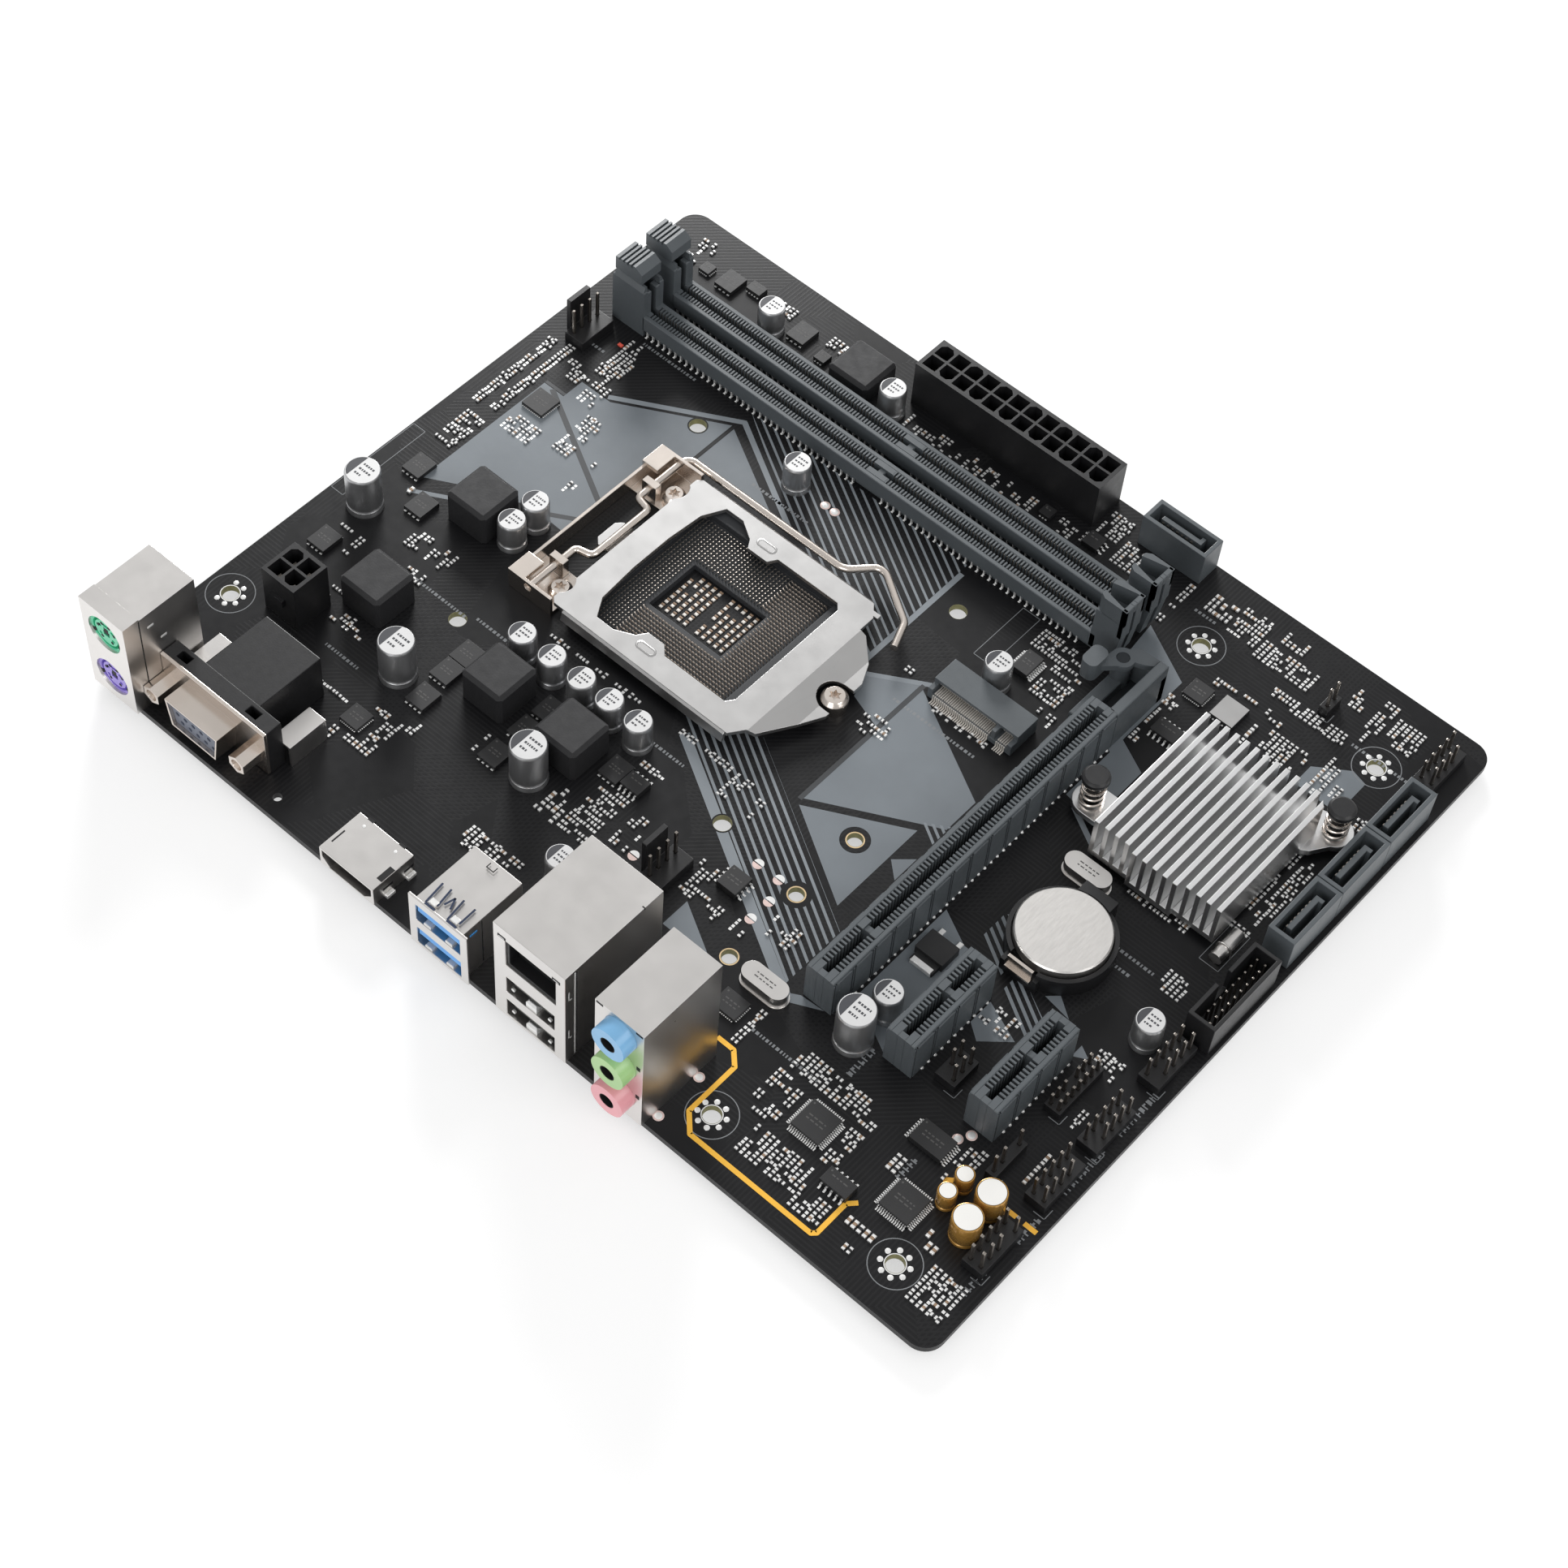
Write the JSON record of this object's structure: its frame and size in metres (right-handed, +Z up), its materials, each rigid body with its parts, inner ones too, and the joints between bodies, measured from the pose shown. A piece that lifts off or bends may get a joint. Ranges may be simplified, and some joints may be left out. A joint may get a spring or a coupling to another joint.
{
  "type": "motherboard",
  "caption": "Micro-ATX computer motherboard with processor socket and load lever, memory and expansion slots, finned chipset cooler, coin cell and rear connector stack.",
  "frame": {"origin": "axis of the mounting hole beside the keyboard and mouse port, on the underside of the board", "axes": "+X along the rear connector edge towards the audio jacks, +Y from the rear edge to the front edge, +Z up out of the component side"},
  "size_m": [0.226, 0.1895, 0.0366],
  "materials": {
    "black_solder_mask": "satin",
    "slate_plastic": "satin",
    "black_plastic": "satin",
    "socket_plastic": "matte",
    "tin_shell": "satin",
    "nickel_steel": "polished",
    "plate_steel": "satin",
    "bright_aluminium": "brushed",
    "can_aluminium": "satin",
    "gold_contacts": "polished",
    "green_plastic": "gloss",
    "purple_plastic": "gloss",
    "port_blue_plastic": "gloss",
    "jack_blue_plastic": "gloss",
    "jack_green_plastic": "gloss",
    "jack_pink_plastic": "gloss",
    "vga_blue_plastic": "satin",
    "ferrite": "matte",
    "chip_epoxy": "matte",
    "cell_steel": "satin",
    "gold_sleeve": "gloss"
  },
  "bodies": {
    "board": {"pcb": "black_solder_mask", "socket_body": "socket_plastic", "socket_contacts": "gold_contacts", "ilm_hinge_frame": "nickel_steel", "ilm_frame_screws": "nickel_steel", "ilm_shoulder_screw": "nickel_steel", "ilm_backplate": "plate_steel", "dimm_slots": "slate_plastic", "dimm_contacts": "gold_contacts", "pcie_x16_slot": "slate_plastic", "pcie_x1_slots": "slate_plastic", "pcie_contacts": "gold_contacts", "m2_connector": "slate_plastic", "m2_contacts": "gold_contacts", "power_connector_housings": "black_plastic", "power_connector_pins": "gold_contacts", "sata_connectors": "slate_plastic", "sata_contacts": "gold_contacts", "usb3_header_shroud": "black_plastic", "pin_header_bases": "black_plastic", "header_pins": "gold_contacts", "fan_header_bases": "black_plastic", "ps2_shell": "tin_shell", "ps2_port_green": "green_plastic", "ps2_port_purple": "purple_plastic", "vga_housing": "black_plastic", "vga_shell": "tin_shell", "vga_insert": "vga_blue_plastic", "vga_jackscrews": "nickel_steel", "vga_board_locks": "tin_shell", "hdmi_shell": "tin_shell", "hdmi_tongue": "black_plastic", "usb3_stack_shell": "tin_shell", "usb3_stack_tongues": "port_blue_plastic", "lan_usb_shell": "tin_shell", "lan_usb_insert": "black_plastic", "audio_shell": "tin_shell", "audio_jack_blue": "jack_blue_plastic", "audio_jack_green": "jack_green_plastic", "audio_jack_pink": "jack_pink_plastic", "chipset_package": "chip_epoxy", "chipset_heatsink": "bright_aluminium", "push_pin_spring_1": "nickel_steel", "push_pin_spring_2": "nickel_steel", "battery_holder": "black_plastic", "battery_contacts": "nickel_steel", "chokes": "ferrite", "capacitors": "can_aluminium", "audio_capacitors": "gold_sleeve", "crystals": "tin_shell", "ic_packages": "chip_epoxy", "power_transistors": "chip_epoxy"},
    "load_plate": {"ilm_load_plate": "plate_steel"},
    "load_lever": {"ilm_load_lever": "nickel_steel"},
    "memory_latch_a": {"dimm_latch_a": "slate_plastic"},
    "memory_latch_b": {"dimm_latch_b": "slate_plastic"},
    "card_retainer": {"pcie_x16_latch": "slate_plastic"},
    "pin_1": {"push_pin_1": "black_plastic"},
    "pin_2": {"push_pin_2": "black_plastic"},
    "coin_cell": {"battery": "cell_steel"}
  },
  "joints": [
    {"name": "load_lever_swing", "type": "hinge", "parent": "board", "child": "load_lever", "pos_m": [0.046, 0.067, 0.0056], "axis": [0, -1, 0], "range_deg": [0, 120]},
    {"name": "load_plate_swing", "type": "hinge", "parent": "board", "child": "load_plate", "pos_m": [0.046, 0.067, 0.0056], "axis": [0, -1, 0], "range_deg": [0, 96]},
    {"name": "memory_latch_a_swing", "type": "hinge", "parent": "board", "child": "memory_latch_a", "pos_m": [0.006, 0.1173, 0.0046], "axis": [0, -1, 0], "range_deg": [0, 30]},
    {"name": "memory_latch_b_swing", "type": "hinge", "parent": "board", "child": "memory_latch_b", "pos_m": [0.006, 0.1272, 0.0046], "axis": [0, -1, 0], "range_deg": [0, 30]},
    {"name": "card_retainer_swing", "type": "hinge", "parent": "board", "child": "card_retainer", "pos_m": [0.1509, 0.111, 0.0109], "axis": [0, 0, 1], "range_deg": [0, 25]},
    {"name": "push_pin_1_travel", "type": "slide", "parent": "board", "child": "pin_1", "axis": [0, 0, 1], "range_m": [-0.001, 0], "stiffness_N_per_m": 600, "springref_m": 0.001, "deforming": ["push_pin_spring_1"]},
    {"name": "push_pin_2_travel", "type": "slide", "parent": "board", "child": "pin_2", "axis": [0, 0, 1], "range_m": [-0.001, 0], "stiffness_N_per_m": 600, "springref_m": 0.001, "deforming": ["push_pin_spring_2"]},
    {"name": "coin_cell_lift", "type": "slide", "parent": "board", "child": "coin_cell", "axis": [0, 0, 1], "range_m": [0, 0.012]}
  ],
  "couplings": [
    {"joint": "load_plate_swing", "follows": "load_lever_swing", "ratio": 0.8}
  ]
}
